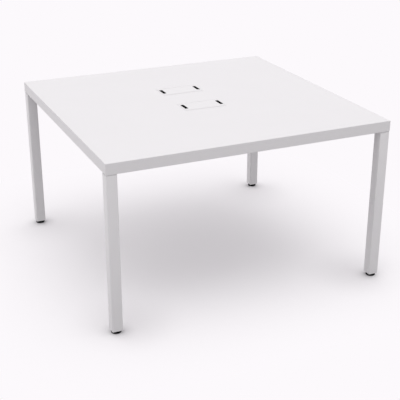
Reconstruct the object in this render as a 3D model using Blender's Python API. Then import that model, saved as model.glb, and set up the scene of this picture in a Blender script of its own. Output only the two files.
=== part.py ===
"""White conference table: banded top, flush corner legs, levelling feet and two flip-lid cable ports.

The origin is on the floor under the middle of the top. +X is right, +Y is back, +Z is up, in metres.
"""
import math

import bmesh
import bpy

# Overall sizes of the table, standing on its feet when they are screwed right in
TABLE_WIDTH = 1.240
TABLE_DEPTH = 1.200
TABLE_HEIGHT = 0.720

# The top: a board, build-up strips under its rim and a band round both
SLAB_EDGE_HEIGHT = 0.045
BOARD_THICKNESS = 0.025
BAND_THICKNESS = 0.002
BAND_ROUNDING = 0.0012
BAND_STEPS = 3
STRIP_WIDTH = 0.070
RAIL_WIDTH = 0.040
RAIL_WALL = 0.0015
RAIL_ROUNDING = 0.003
RAIL_INSET = 0.210

# Legs of square tube, and the plate that screws each one to the strips
LEG_WIDTH = 0.045
LEG_WALL = 0.0025
LEG_ROUNDING = 0.005
PLATE_THICKNESS = 0.003
PLATE_REACH = 0.070
PLATE_SETBACK = 0.0019
PLATE_INSET = 0.014
PLATE_CORNER_CUT = 0.060
PLATE_HOLE_RADIUS = 0.003
PLATE_HOLE_INSET = 0.014

# Levelling feet: a disc on a screw stud, a sole that swivels under it, and a plug in the leg
DISC_RADIUS = 0.0205
DISC_TOP = 0.0127
DISC_ROUNDING = 0.001
SOLE_RADIUS = 0.0175
SOLE_THICKNESS = 0.003
SOLE_STANDOUT = 0.001
STUD_RADIUS = 0.004
STUD_REACH = 0.040
STUD_CHAMFER = 0.0006
STUD_ROOT = 0.006
PLUG_HEIGHT = 0.022

# Cable ports, both on the middle line of the table
FRONT_PORT_Y = -0.075
REAR_PORT_Y = 0.175
BEZEL_LENGTH = 0.194
BEZEL_DEPTH = 0.104
BEZEL_WIDTH = 0.006
BEZEL_THICKNESS = 0.0026
BEZEL_STANDOUT = 0.0016
BEZEL_OUTER_ROUNDING = 0.006
BEZEL_INNER_ROUNDING = 0.0015
BEZEL_CHAMFER = 0.0005
WELL_WALL = 0.003
WELL_ROUNDING = 0.002
WELL_FLANGE = 0.002
WELL_FLANGE_THICKNESS = 0.002
WELL_DROP = 0.012
WELL_SET_OUT = 0.0005
LEDGE_WIDTH = 0.0045
LEDGE_THICKNESS = 0.003
LID_THICKNESS = 0.003
LID_EDGE_ROUNDING = 0.0008
LID_SINK = 0.0003
LID_GAP = 0.001
BARREL_RADIUS = 0.0045
SLOT_WIDTH = 0.0145
SLOT_LENGTH = 0.058
SLOT_ROUNDING = 0.004
OUTLET_WALL = 0.002
OUTLET_SPLIT = 0.005
OUTLET_LIP = 0.0015
OUTLET_LIP_THICKNESS = 0.0012
ROD_RADIUS = 0.0012
ROD_SEAT = 0.0022

# Cable tray: one bent sheet that hangs under both wells
TRAY_SHEET = 0.0015
TRAY_BEND = 0.004
TRAY_DEPTH = 0.080
TRAY_FLANGE = 0.025
TRAY_SIDE_ROOM = 0.012
TRAY_OVERHANG = 0.060
TIE_SLOT_LENGTH = 0.030
TIE_SLOT_WIDTH = 0.008
TIE_SLOT_ROUNDING = 0.0036
TIE_SLOT_PITCH = 0.090
TRAY_HOLE_RADIUS = 0.0025
TRAY_HOLE_INSET = 0.030

# Clearances: between pieces that seat on each other, at turning rods and studs, and round the wells
SEAT_GAP = 0.0003
TURNING_GAP = 0.00015
THREAD_GAP = 0.00025
CUT_OUT_GAP = 0.0005

# How finely round shapes are divided
ARC_STEPS = 5
ROUND_STEPS = 4 * (ARC_STEPS + 1)
SMOOTH_ANGLE = math.radians(35)
OVERCUT = 0.005

# Levels and half sizes that several pieces share; levels in a port are measured from the top of its bezel
PORT_TOP = TABLE_HEIGHT + BEZEL_STANDOUT
BOARD_UNDERSIDE = TABLE_HEIGHT - BOARD_THICKNESS
SLAB_UNDERSIDE = TABLE_HEIGHT - SLAB_EDGE_HEIGHT
BOARD_HALF_X = TABLE_WIDTH / 2 - BAND_THICKNESS - SEAT_GAP
BOARD_HALF_Y = TABLE_DEPTH / 2 - BAND_THICKNESS - SEAT_GAP
PLATE_TOP = SLAB_UNDERSIDE - SEAT_GAP
LEG_TOP = PLATE_TOP - PLATE_THICKNESS - SEAT_GAP
LEG_BOTTOM = DISC_TOP + SEAT_GAP
LEG_X = TABLE_WIDTH / 2 - LEG_WIDTH / 2
LEG_Y = TABLE_DEPTH / 2 - LEG_WIDTH / 2
OPENING_HALF_X = BEZEL_LENGTH / 2 - BEZEL_WIDTH
OPENING_HALF_Y = BEZEL_DEPTH / 2 - BEZEL_WIDTH
WELL_INNER_X = OPENING_HALF_X + WELL_SET_OUT
WELL_INNER_Y = OPENING_HALF_Y + WELL_SET_OUT
WELL_OUTER_X = WELL_INNER_X + WELL_WALL
WELL_OUTER_Y = WELL_INNER_Y + WELL_WALL
WELL_TOP = -BEZEL_THICKNESS - SEAT_GAP
WELL_BOTTOM = -BEZEL_STANDOUT - BOARD_THICKNESS - WELL_DROP
REBATE_FLOOR = WELL_TOP - WELL_FLANGE_THICKNESS - SEAT_GAP
LID_HALF_X = OPENING_HALF_X - LID_GAP
AXIS_Y = BARREL_RADIUS + LID_GAP - OPENING_HALF_Y
AXIS_Z = -LID_SINK - BARREL_RADIUS
LID_REACH = OPENING_HALF_Y - LID_GAP - AXIS_Y

# Corners in turn, anticlockwise from above; the leg plate makes a quarter turn from each to the next
CORNERS = ("front_left", "front_right", "back_right", "back_left")

# Ports in turn, each with its place; both lids hinge at the front
PORTS = {
    "front": FRONT_PORT_Y,
    "rear": REAR_PORT_Y,
}


def clear_scene():
    """Start from an empty scene."""
    for item in list(bpy.data.objects):
        bpy.data.objects.remove(item)


def material(name, colour, roughness, metallic=0.0):
    """Principled material with one colour."""
    made = bpy.data.materials.new(name)
    made.use_nodes = True
    shader = made.node_tree.nodes["Principled BSDF"]
    shader.inputs["Base Color"].default_value = (*colour, 1.0)
    shader.inputs["Roughness"].default_value = roughness
    shader.inputs["Metallic"].default_value = metallic
    return made


def rectangle(half_x, half_y, z):
    """Four corners of a level rectangle."""
    return [(half_x, half_y, z), (-half_x, half_y, z), (-half_x, -half_y, z), (half_x, -half_y, z)]


def quarter_arc(centre_x, centre_y, radius, first):
    """Points on a quarter circle, anticlockwise from a number of quarter turns off the first axis."""
    points = []
    for step in range(ARC_STEPS + 1):
        angle = math.pi / 2 * (first + step / ARC_STEPS)
        points.append((centre_x + radius * math.cos(angle), centre_y + radius * math.sin(angle)))
    return points


def rounded_rectangle(half_x, half_y, radius, z):
    """Level loop round a rectangle whose corners are arcs."""
    points = []
    for quarter, (side_x, side_y) in enumerate(((1, 1), (-1, 1), (-1, -1), (1, -1))):
        points += quarter_arc(side_x * (half_x - radius), side_y * (half_y - radius), radius, quarter)
    return [(x, y, z) for x, y in points]


def circle(radius, z):
    """Level loop round a circle, with as many points as a rounded rectangle."""
    points = []
    for step in range(ROUND_STEPS):
        angle = 2 * math.pi * (step + 0.5) / ROUND_STEPS
        points.append((radius * math.cos(angle), radius * math.sin(angle), z))
    return points


def skin(loops, ring=False):
    """Closed mesh over a row of loops: capped at both ends, or joined last to first as a ring."""
    mesh = bmesh.new()
    rows = [[mesh.verts.new(point) for point in loop] for loop in loops]
    pairs = list(zip(rows, rows[1:]))
    if ring:
        pairs.append((rows[-1], rows[0]))
    else:
        mesh.faces.new(rows[0])
        mesh.faces.new(rows[-1])
    for near, far in pairs:
        for here in range(len(near)):
            there = (here + 1) % len(near)
            mesh.faces.new((near[here], near[there], far[there], far[here]))
    bmesh.ops.recalc_face_normals(mesh, faces=mesh.faces)
    return mesh


def add(name, mesh, finish, location=(0, 0, 0), turn=(0, 0, 0)):
    """Named object from a mesh under construction."""
    data = bpy.data.meshes.new(name)
    mesh.to_mesh(data)
    mesh.free()
    return place(name, data, finish, location, turn)


def place(name, data, finish, location=(0, 0, 0), turn=(0, 0, 0)):
    """Named object from finished mesh data."""
    made = bpy.data.objects.new(name, data)
    if finish and not data.materials:
        data.materials.append(finish)
    data.shade_smooth()
    data.set_sharp_from_angle(angle=SMOOTH_ANGLE)
    made.location = location
    made.rotation_euler = turn
    bpy.context.scene.collection.objects.link(made)
    return made


def combine(body, tools, operation):
    """Cut the tools out of a body, or join them to it, and leave only the body."""
    for tool in tools:
        modifier = body.modifiers.new(tool.name, "BOOLEAN")
        modifier.operation = operation
        modifier.solver = "EXACT"
        modifier.object = tool
    graph = bpy.context.evaluated_depsgraph_get()
    body.data = bpy.data.meshes.new_from_object(body.evaluated_get(graph))
    body.modifiers.clear()
    for tool in tools:
        bpy.data.objects.remove(tool)
    body.data.shade_smooth()
    body.data.set_sharp_from_angle(angle=SMOOTH_ANGLE)


def tabletop_board(laminate):
    """Board with a stepped cut-out for each port: the well passes through, the bezel sits in the rebate."""
    flat = skin([rectangle(BOARD_HALF_X, BOARD_HALF_Y, z) for z in (BOARD_UNDERSIDE, TABLE_HEIGHT)])
    board = add("tabletop_board", flat, laminate)
    hole = (WELL_OUTER_X + CUT_OUT_GAP, WELL_OUTER_Y + CUT_OUT_GAP, WELL_ROUNDING + WELL_WALL + CUT_OUT_GAP)
    rebate = (BEZEL_LENGTH / 2 + SEAT_GAP, BEZEL_DEPTH / 2 + SEAT_GAP, BEZEL_OUTER_ROUNDING + SEAT_GAP)
    cutters = []
    for name, port_y in PORTS.items():
        step = [
            rounded_rectangle(*hole, -BEZEL_STANDOUT - BOARD_THICKNESS - OVERCUT),
            rounded_rectangle(*hole, REBATE_FLOOR),
            rounded_rectangle(*rebate, REBATE_FLOOR),
            rounded_rectangle(*rebate, OVERCUT),
        ]
        cutters.append(add("cut_out_" + name, skin(step), None, (0, port_y, PORT_TOP)))
    combine(board, cutters, "DIFFERENCE")


def edge_strips(core):
    """Four strips that thicken the rim of the board; the side strips fit between the other two."""
    levels = (SLAB_UNDERSIDE, BOARD_UNDERSIDE - SEAT_GAP)
    side_half = BOARD_HALF_Y - STRIP_WIDTH - SEAT_GAP
    for name, side in (("front", -1), ("back", 1)):
        flat = skin([rectangle(BOARD_HALF_X, STRIP_WIDTH / 2, z) for z in levels])
        add("edge_strip_" + name, flat, core, (0, side * (BOARD_HALF_Y - STRIP_WIDTH / 2), 0))
    for name, side in (("left", -1), ("right", 1)):
        flat = skin([rectangle(STRIP_WIDTH / 2, side_half, z) for z in levels])
        add("edge_strip_" + name, flat, core, (side * (BOARD_HALF_X - STRIP_WIDTH / 2), 0, 0))


def round_edges(mesh, chosen):
    """Round the chosen edges of a band."""
    settings = {"offset": BAND_ROUNDING, "segments": BAND_STEPS, "profile": 0.5, "affect": "EDGES"}
    bmesh.ops.bevel(mesh, geom=chosen, **settings)


def edge_bands(laminate):
    """Four bands of full slab height; front and back wrap the corners, the sides fit between them."""
    levels = (SLAB_UNDERSIDE, TABLE_HEIGHT)
    half_thick = BAND_THICKNESS / 2
    for name, side in (("front", -1), ("back", 1)):
        mesh = skin([rectangle(TABLE_WIDTH / 2, half_thick, z) for z in levels])
        inner = [edge for edge in mesh.edges if all(side * vert.co.y < 0 for vert in edge.verts)]
        round_edges(mesh, [edge for edge in mesh.edges if edge not in inner])
        add("edge_band_" + name, mesh, laminate, (0, side * (TABLE_DEPTH / 2 - half_thick), 0))
    side_half = TABLE_DEPTH / 2 - BAND_THICKNESS - SEAT_GAP
    for name, side in (("left", -1), ("right", 1)):
        mesh = skin([rectangle(half_thick, side_half, z) for z in levels])
        outer = [edge for edge in mesh.edges if all(side * vert.co.x > 0 for vert in edge.verts)]
        long_ones = [edge for edge in outer if abs(edge.verts[0].co.y - edge.verts[1].co.y) > side_half]
        round_edges(mesh, long_ones)
        add("edge_band_" + name, mesh, laminate, (side * (TABLE_WIDTH / 2 - half_thick), 0, 0))


def tube(half_x, half_y, radius, wall, bottom, top):
    """Upright rectangular tube, open at both ends."""
    inside = (half_x - wall, half_y - wall, max(radius - wall, wall / 4))
    return skin([
        rounded_rectangle(half_x, half_y, radius, bottom),
        rounded_rectangle(half_x, half_y, radius, top),
        rounded_rectangle(*inside, top),
        rounded_rectangle(*inside, bottom),
    ], ring=True)


def stiffener_rails(steel):
    """Two flat tubes in the recess under the board, from one side strip to the other."""
    half_height = (SLAB_EDGE_HEIGHT - BOARD_THICKNESS - SEAT_GAP) / 2
    half_length = BOARD_HALF_X - STRIP_WIDTH - SEAT_GAP
    for name, side in (("front", -1), ("back", 1)):
        mesh = tube(half_height, RAIL_WIDTH / 2, RAIL_ROUNDING, RAIL_WALL, -half_length, half_length)
        location = (0, side * (TABLE_DEPTH / 2 - RAIL_INSET), SLAB_UNDERSIDE + half_height)
        add("stiffener_rail_" + name, mesh, steel, location, (0, math.pi / 2, 0))


def leg_plate_mesh():
    """Plate for one corner: a square on the leg's end that widens inwards, where the slab hides it."""
    near = -LEG_WIDTH / 2 + PLATE_SETBACK
    side = LEG_WIDTH / 2 - PLATE_SETBACK
    inset = -LEG_WIDTH / 2 + PLATE_INSET
    far = LEG_WIDTH / 2 + PLATE_REACH
    cut = far - PLATE_CORNER_CUT
    outline = [(near, near), (side, near), (side, inset), (far, inset), (far, cut)]
    outline += [(cut, far), (inset, far), (inset, side), (near, side)]
    mesh = skin([[(x, y, z) for x, y in outline] for z in (-PLATE_THICKNESS, 0)])
    plate = add("plate", mesh, None)
    end = far - PLATE_HOLE_INSET
    edge = inset + PLATE_HOLE_INSET
    middle = LEG_WIDTH / 2 + PLATE_HOLE_INSET
    holes = []
    for x, y in ((end, edge), (edge, end), (middle, middle)):
        drill = skin([circle(PLATE_HOLE_RADIUS, z) for z in (-PLATE_THICKNESS - OVERCUT, OVERCUT)])
        holes.append(add("drill", drill, None, (x, y, 0)))
    combine(plate, holes, "DIFFERENCE")
    data = plate.data
    bpy.data.objects.remove(plate)
    return data


def plug_mesh():
    """Plug that fills the leg's bore, with a hole for the stud."""
    half = LEG_WIDTH / 2 - LEG_WALL - SEAT_GAP
    radius = max(LEG_ROUNDING - LEG_WALL - SEAT_GAP, LEG_WALL / 4)
    bore = STUD_RADIUS + THREAD_GAP
    return skin([
        rounded_rectangle(half, half, radius, LEG_BOTTOM),
        rounded_rectangle(half, half, radius, LEG_BOTTOM + PLUG_HEIGHT),
        circle(bore, LEG_BOTTOM + PLUG_HEIGHT),
        circle(bore, LEG_BOTTOM),
    ], ring=True)


def sole_mesh():
    """Flat round sole that stays put on the floor while the disc above it is turned."""
    return skin([circle(SOLE_RADIUS, z) for z in (0, SOLE_THICKNESS)])


def disc_mesh():
    """Turned disc: hollowed underneath for the sole, rounded round its rim, with a socket for the stud."""
    hollow = SOLE_RADIUS + THREAD_GAP
    ceiling = SOLE_THICKNESS + SEAT_GAP
    socket = STUD_RADIUS + SEAT_GAP
    rim = DISC_RADIUS - DISC_ROUNDING
    loops = [circle(hollow, ceiling), circle(hollow, SOLE_STANDOUT)]
    for middle, first in ((SOLE_STANDOUT + DISC_ROUNDING, -1), (DISC_TOP - DISC_ROUNDING, 0)):
        loops += [circle(radius, z) for radius, z in quarter_arc(rim, middle, DISC_ROUNDING, first)]
    loops += [circle(socket, DISC_TOP), circle(socket, DISC_TOP - STUD_ROOT)]
    return skin(loops)


def stud_mesh():
    """Screw stud, rooted in the disc and passing up through the plug."""
    low = DISC_TOP - STUD_ROOT + SEAT_GAP
    high = LEG_BOTTOM + STUD_REACH
    return skin([
        circle(STUD_RADIUS - STUD_CHAMFER, low),
        circle(STUD_RADIUS, low + STUD_CHAMFER),
        circle(STUD_RADIUS, high - STUD_CHAMFER),
        circle(STUD_RADIUS - STUD_CHAMFER, high),
    ])


def legs_and_feet(paint, black, rubber, zinc):
    """A plate, leg, plug and foot at each corner; the foot's pieces have their origin on the screw axis."""
    half = LEG_WIDTH / 2
    plate = leg_plate_mesh()
    pieces = {
        "leg": (tube(half, half, LEG_ROUNDING, LEG_WALL, LEG_BOTTOM, LEG_TOP), paint),
        "leg_plug": (plug_mesh(), black),
        "foot_stud": (stud_mesh(), zinc),
        "foot_disc": (disc_mesh(), black),
        "foot_sole": (sole_mesh(), rubber),
    }
    for quarters, corner in enumerate(CORNERS):
        x = LEG_X if corner.endswith("right") else -LEG_X
        y = LEG_Y if corner.startswith("back") else -LEG_Y
        place("leg_plate_" + corner, plate.copy(), paint, (x, y, PLATE_TOP), (0, 0, quarters * math.pi / 2))
        for kind, (mesh, finish) in pieces.items():
            add(kind + "_" + corner, mesh.copy(), finish, (x, y, 0))


def bezel_mesh():
    """Flat ring with softened top edges that stands a little proud of the board."""
    outer = (BEZEL_LENGTH / 2, BEZEL_DEPTH / 2, BEZEL_OUTER_ROUNDING)
    inner = (OPENING_HALF_X, OPENING_HALF_Y, BEZEL_INNER_ROUNDING)
    soft_outer = [size - BEZEL_CHAMFER for size in outer]
    soft_inner = [size + BEZEL_CHAMFER for size in inner]
    return skin([
        rounded_rectangle(*inner, -BEZEL_THICKNESS),
        rounded_rectangle(*inner, -BEZEL_CHAMFER),
        rounded_rectangle(*soft_inner, 0),
        rounded_rectangle(*soft_outer, 0),
        rounded_rectangle(*outer, -BEZEL_CHAMFER),
        rounded_rectangle(*outer, -BEZEL_THICKNESS),
    ], ring=True)


def pivot(radius, half_length, location):
    """Round bar along X, used as the tool for a pivot hole or bore."""
    bar = skin([circle(radius, z) for z in (-half_length, half_length)])
    return add("pivot", bar, None, location, (0, math.pi / 2, 0))


def port_well(name, black, location):
    """Open moulded well: a flange under the bezel, a ledge that stops the lid, blind holes for the rod."""
    inner = (WELL_INNER_X, WELL_INNER_Y, WELL_ROUNDING)
    outer = (WELL_OUTER_X, WELL_OUTER_Y, WELL_ROUNDING + WELL_WALL)
    flange = [size + WELL_FLANGE for size in outer]
    flange_bottom = WELL_TOP - WELL_FLANGE_THICKNESS
    mesh = skin([
        rounded_rectangle(*inner, WELL_TOP),
        rounded_rectangle(*flange, WELL_TOP),
        rounded_rectangle(*flange, flange_bottom),
        rounded_rectangle(*outer, flange_bottom),
        rounded_rectangle(*outer, WELL_BOTTOM),
        rounded_rectangle(*inner, WELL_BOTTOM),
    ], ring=True)
    well = add("port_well_" + name, mesh, black)
    ledge_top = -LID_SINK - LID_THICKNESS - SEAT_GAP
    ledge_half_y = (LEDGE_WIDTH + WELL_WALL / 2) / 2
    ledge_half_x = WELL_INNER_X + WELL_WALL / 2
    ledge_y = WELL_INNER_Y - LEDGE_WIDTH + ledge_half_y
    levels = (ledge_top - LEDGE_THICKNESS, ledge_top)
    ledge = skin([rectangle(ledge_half_x, ledge_half_y, z) for z in levels])
    combine(well, [add("ledge", ledge, None, (0, ledge_y, 0))], "UNION")
    hole = pivot(ROD_RADIUS + TURNING_GAP, WELL_INNER_X + ROD_SEAT, (0, AXIS_Y, AXIS_Z))
    combine(well, [hole], "DIFFERENCE")
    well.location = location


def lid_profile():
    """Side view of the lid about its axis: a flat leaf that runs into a round barrel at the hinge."""
    top = BARREL_RADIUS
    bottom = top - LID_THICKNESS
    points = [(LID_REACH, bottom)]
    points += quarter_arc(LID_REACH - LID_EDGE_ROUNDING, top - LID_EDGE_ROUNDING, LID_EDGE_ROUNDING, 0)
    first = math.pi / 2
    last = 2 * math.pi + math.asin(bottom / BARREL_RADIUS)
    barrel_steps = 4 * ARC_STEPS
    for step in range(barrel_steps + 1):
        angle = first + (last - first) * step / barrel_steps
        points.append((BARREL_RADIUS * math.cos(angle), BARREL_RADIUS * math.sin(angle)))
    return points


def port_lid(name, laminate, location):
    """Lid with an open notch at each end for cables, bored for its rod; the origin is on the hinge axis."""
    profile = lid_profile()
    mesh = skin([[(x, y, z) for y, z in profile] for x in (-LID_HALF_X, LID_HALF_X)])
    lid = add("port_lid_" + name, mesh, laminate)
    tools = [pivot(ROD_RADIUS + TURNING_GAP, LID_HALF_X + OVERCUT, (0, 0, 0))]
    levels = (-BARREL_RADIUS, BARREL_RADIUS + OVERCUT)
    for side in (-1, 1):
        notch = [rounded_rectangle(SLOT_WIDTH, SLOT_LENGTH / 2, SLOT_ROUNDING, z) for z in levels]
        tools.append(add("notch", skin(notch), None, (side * LID_HALF_X, -AXIS_Y, 0)))
    combine(lid, tools, "DIFFERENCE")
    lid.location = location


def outlet_outline(lip, ease):
    """Outline of the split ring in the right-hand notch: a lip widens it, an ease thins every face."""
    inside = LID_HALF_X - SLOT_WIDTH + SEAT_GAP
    half = SLOT_LENGTH / 2 - SEAT_GAP
    rounding = SLOT_ROUNDING - SEAT_GAP
    wall = OUTLET_WALL - ease
    split = OUTLET_SPLIT / 2 + ease
    rim = LID_HALF_X - ease
    bends = ((half - rounding, 1), (rounding - half, 2))
    outer = []
    hole = []
    for bend_y, first in bends:
        outer += quarter_arc(inside + rounding, bend_y, rounding + lip, first)
        hole += quarter_arc(inside + rounding, bend_y, rounding - wall, first)
    points = [(rim, split), (rim, half + lip)] + outer + [(rim, -half - lip), (rim, -split)]
    rim = LID_HALF_X - wall
    points += [(rim, -split), (rim, wall - half)] + hole[::-1] + [(rim, half - wall), (rim, split)]
    return points


def port_outlet(name, side, black, location):
    """Split ring that lines one notch of a lid, flush with its top and end, with a lip under the lid."""
    top = BARREL_RADIUS
    lip_top = top - LID_THICKNESS - SEAT_GAP
    body = outlet_outline(0, 0)
    lip = outlet_outline(OUTLET_LIP, SEAT_GAP)
    layers = ((lip, lip_top - OUTLET_LIP_THICKNESS), (lip, lip_top), (body, lip_top), (body, top))
    mesh = skin([[(side * x, y - AXIS_Y, z) for x, y in outline] for outline, z in layers])
    add("port_outlet_" + name, mesh, black, location)


def cable_ports(laminate, black, zinc):
    """Bezel, well, lid, lid outlets and hinge rod of each port."""
    rod_half = WELL_INNER_X + ROD_SEAT - SEAT_GAP
    for name, port_y in PORTS.items():
        centre = (0, port_y, PORT_TOP)
        axis = (0, port_y + AXIS_Y, PORT_TOP + AXIS_Z)
        add("port_bezel_" + name, bezel_mesh(), laminate, centre)
        port_well(name, black, centre)
        port_lid(name, laminate, axis)
        port_outlet(name + "_left", -1, black, axis)
        port_outlet(name + "_right", 1, black, axis)
        rod = skin([circle(ROD_RADIUS, z) for z in (-rod_half, rod_half)])
        add("port_rod_" + name, rod, zinc, axis, (0, math.pi / 2, 0))


def sheet_outline(path, thickness, bend):
    """Outline of a bent sheet: the path offset to both sides, with an arc round the inside of each bend."""
    sides = ([], [])
    for index, (x, z) in enumerate(path):
        before = path[max(index - 1, 0)]
        after = path[min(index + 1, len(path) - 1)]
        heading_in = math.atan2(z - before[1], x - before[0])
        heading_out = math.atan2(after[1] - z, after[0] - x)
        if index == 0 or index == len(path) - 1:
            heading = heading_out if index == 0 else heading_in
            for side, points in zip((1, -1), sides):
                reach = side * thickness / 2
                points.append((x - reach * math.sin(heading), z + reach * math.cos(heading)))
            continue
        bend_angle = (heading_out - heading_in + math.pi) % (2 * math.pi) - math.pi
        inward = 1 if bend_angle > 0 else -1
        radius = bend + thickness / 2
        back = radius * math.tan(abs(bend_angle) / 2)
        start = (x - back * math.cos(heading_in), z - back * math.sin(heading_in))
        centre_x = start[0] - inward * radius * math.sin(heading_in)
        centre_z = start[1] + inward * radius * math.cos(heading_in)
        for step in range(ARC_STEPS + 1):
            heading = heading_in + bend_angle * step / ARC_STEPS
            for side, points in zip((1, -1), sides):
                reach = inward * radius - side * thickness / 2
                points.append((centre_x + reach * math.sin(heading), centre_z - reach * math.cos(heading)))
    return sides[0] + sides[1][::-1]


def cable_tray(steel):
    """Hat-shaped tray of bent sheet, screwed by its flanges to the board, with slots for cable ties."""
    half = WELL_OUTER_X + TRAY_SIDE_ROOM
    flange_z = BOARD_UNDERSIDE - SEAT_GAP - TRAY_SHEET / 2
    floor_z = BOARD_UNDERSIDE - TRAY_DEPTH
    path = [(-half - TRAY_FLANGE, flange_z), (-half, flange_z), (-half, floor_z)]
    path += [(half, floor_z), (half, flange_z), (half + TRAY_FLANGE, flange_z)]
    outline = sheet_outline(path, TRAY_SHEET, TRAY_BEND)
    front = FRONT_PORT_Y - WELL_OUTER_Y - TRAY_OVERHANG
    back = REAR_PORT_Y + WELL_OUTER_Y + TRAY_OVERHANG
    tray = add("cable_tray", skin([[(x, y, z) for x, z in outline] for y in (front, back)]), steel)
    middle = (front + back) / 2
    tools = []
    count = int((back - front - TIE_SLOT_LENGTH) / TIE_SLOT_PITCH)
    for index in range(count):
        y = middle + TIE_SLOT_PITCH * (index - (count - 1) / 2)
        slot = (TIE_SLOT_LENGTH / 2, TIE_SLOT_WIDTH / 2, TIE_SLOT_ROUNDING)
        mesh = skin([rounded_rectangle(*slot, floor_z + level) for level in (-OVERCUT, OVERCUT)])
        tools.append(add("tie_slot", mesh, None, (0, y, 0)))
    for side in (-1, 1):
        for y in (front + TRAY_HOLE_INSET, middle, back - TRAY_HOLE_INSET):
            drill = skin([circle(TRAY_HOLE_RADIUS, flange_z + level) for level in (-OVERCUT, OVERCUT)])
            tools.append(add("drill", drill, None, (side * (half + TRAY_FLANGE / 2), y, 0)))
    combine(tray, tools, "DIFFERENCE")


def build():
    """Make every piece of the table."""
    clear_scene()
    laminate = material("white_laminate", (0.86, 0.85, 0.86), 0.45)
    core = material("board_core", (0.55, 0.42, 0.28), 0.8)
    paint = material("white_powder_coat", (0.84, 0.83, 0.84), 0.4)
    steel = material("grey_steel", (0.45, 0.46, 0.47), 0.45, 0.6)
    zinc = material("black_zinc", (0.03, 0.03, 0.03), 0.4, 0.7)
    black = material("black_plastic", (0.015, 0.015, 0.016), 0.5)
    rubber = material("black_rubber", (0.02, 0.02, 0.02), 0.8)
    tabletop_board(laminate)
    edge_strips(core)
    edge_bands(laminate)
    stiffener_rails(steel)
    legs_and_feet(paint, black, rubber, zinc)
    cable_ports(laminate, black, zinc)
    cable_tray(steel)


build()
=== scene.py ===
"""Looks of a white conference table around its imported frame, laid out as a Blender add-on.

The frame gives every rigid piece. This file adds finishes, smooth legs and feet, screws, welds and glue
lines, and a plain stage. Metres, +Z up, the floor at zero.
"""

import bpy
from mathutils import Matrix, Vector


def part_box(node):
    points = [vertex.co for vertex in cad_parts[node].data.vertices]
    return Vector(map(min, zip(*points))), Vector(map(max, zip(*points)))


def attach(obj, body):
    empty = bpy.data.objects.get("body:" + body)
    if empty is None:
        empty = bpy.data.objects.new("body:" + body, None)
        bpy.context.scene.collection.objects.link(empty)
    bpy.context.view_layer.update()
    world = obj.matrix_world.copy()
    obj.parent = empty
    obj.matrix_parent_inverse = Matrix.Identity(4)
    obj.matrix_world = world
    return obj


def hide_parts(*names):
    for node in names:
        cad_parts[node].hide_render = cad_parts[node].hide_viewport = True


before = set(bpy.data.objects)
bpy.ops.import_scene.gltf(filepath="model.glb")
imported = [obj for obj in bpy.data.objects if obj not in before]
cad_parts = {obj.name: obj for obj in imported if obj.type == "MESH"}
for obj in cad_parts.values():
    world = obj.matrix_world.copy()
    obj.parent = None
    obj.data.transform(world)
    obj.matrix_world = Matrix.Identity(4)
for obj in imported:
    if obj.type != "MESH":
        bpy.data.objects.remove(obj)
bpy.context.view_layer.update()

import math

import bmesh
import bpy
import numpy as np

bl_info = {
    "name": "Conference table looks",
    "version": (1, 0, 0),
    "blender": (4, 5, 0),
    "location": "View3D > Sidebar > Table",
    "description": "Finishes, small parts and a stage for a white conference table with two cable ports",
    "category": "Object",
}

CORNERS = ("front_left", "front_right", "back_right", "back_left")
SIDES = ("front", "back", "left", "right")
PORTS = ("front", "rear")
ORIGIN = ((0.0, 0.0, 0.0),)

# Edges that turn further than the angle stay sharp, and points closer than the distance become one.
SMOOTH_ANGLE = math.radians(35)
MERGE_DISTANCE = 1e-7

# Gap round a new piece, depth of a weld in its leg, and width of the rim of a leg plate that takes painted
# shade.
CLEARANCE = 0.0002
WELD_OVERLAP = 0.0002
SHADED_RIM = 0.0002

# Where the four corners of a loop lie from its middle, in the order in which the loop turns.
LOOP_SIDES = np.array([[1, 1], [-1, 1], [-1, -1], [1, -1]])


def length(name, description, default):
    """Property for a length in metres."""
    return bpy.props.FloatProperty(
        name=name, description=description, default=default, unit="LENGTH", precision=5
    )


def angle(name, description, degrees):
    """Property for an angle, given in degrees."""
    return bpy.props.FloatProperty(
        name=name, description=description, default=math.radians(degrees), subtype="ANGLE", precision=4
    )


def share(name, description, default):
    """Property for a number from 0 to 1."""
    return bpy.props.FloatProperty(
        name=name, description=description, default=default, subtype="FACTOR", min=0, max=1
    )


def colour(name, description, default):
    """Property for a colour, in linear light."""
    return bpy.props.FloatVectorProperty(
        name=name, description=description, default=default, subtype="COLOR", size=3, min=0, max=1
    )


class TableLegSizes(bpy.types.PropertyGroup):
    """Sizes of the legs and of what holds them to the top."""

    rounding: length("Corner rounding", "Outer rounding of the square tube", 0.005)
    wall: length("Wall", "Wall of the square tube", 0.0025)
    easing: length("End easing", "Rounding of the cut ends of the tube", 0.0005)
    weld: length("Weld", "Width of the weld bead under the plate", 0.003)
    ripple: length("Weld ripple", "Distance between the ripples of the weld", 0.0021)
    weld_start: length("Weld start", "How far from the leg's outer face the weld begins", 0.015)
    hole_inset: length("Hole inset", "Screw holes of the plate, from its edges", 0.014)


class TableFootSizes(bpy.types.PropertyGroup):
    """Sizes of the levelling feet."""

    disc_radius: length("Disc radius", "Outer radius of the turned disc", 0.0205)
    disc_rounding: length("Disc rounding", "Rounding of the disc's rim", 0.0011)
    sole_radius: length("Sole radius", "Radius of the sole that swivels under the disc", 0.0175)
    groove: length("Sole groove", "Distance between the grooves under the sole", 0.0026)
    groove_depth: length("Groove depth", "Depth of the grooves under the sole", 0.0007)
    stud_radius: length("Stud radius", "Outer radius of the screw thread", 0.004)
    pitch: length("Thread pitch", "Rise of the screw thread in one turn", 0.00125)
    thread_depth: length("Thread depth", "Depth of the screw thread", 0.0007)


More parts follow.
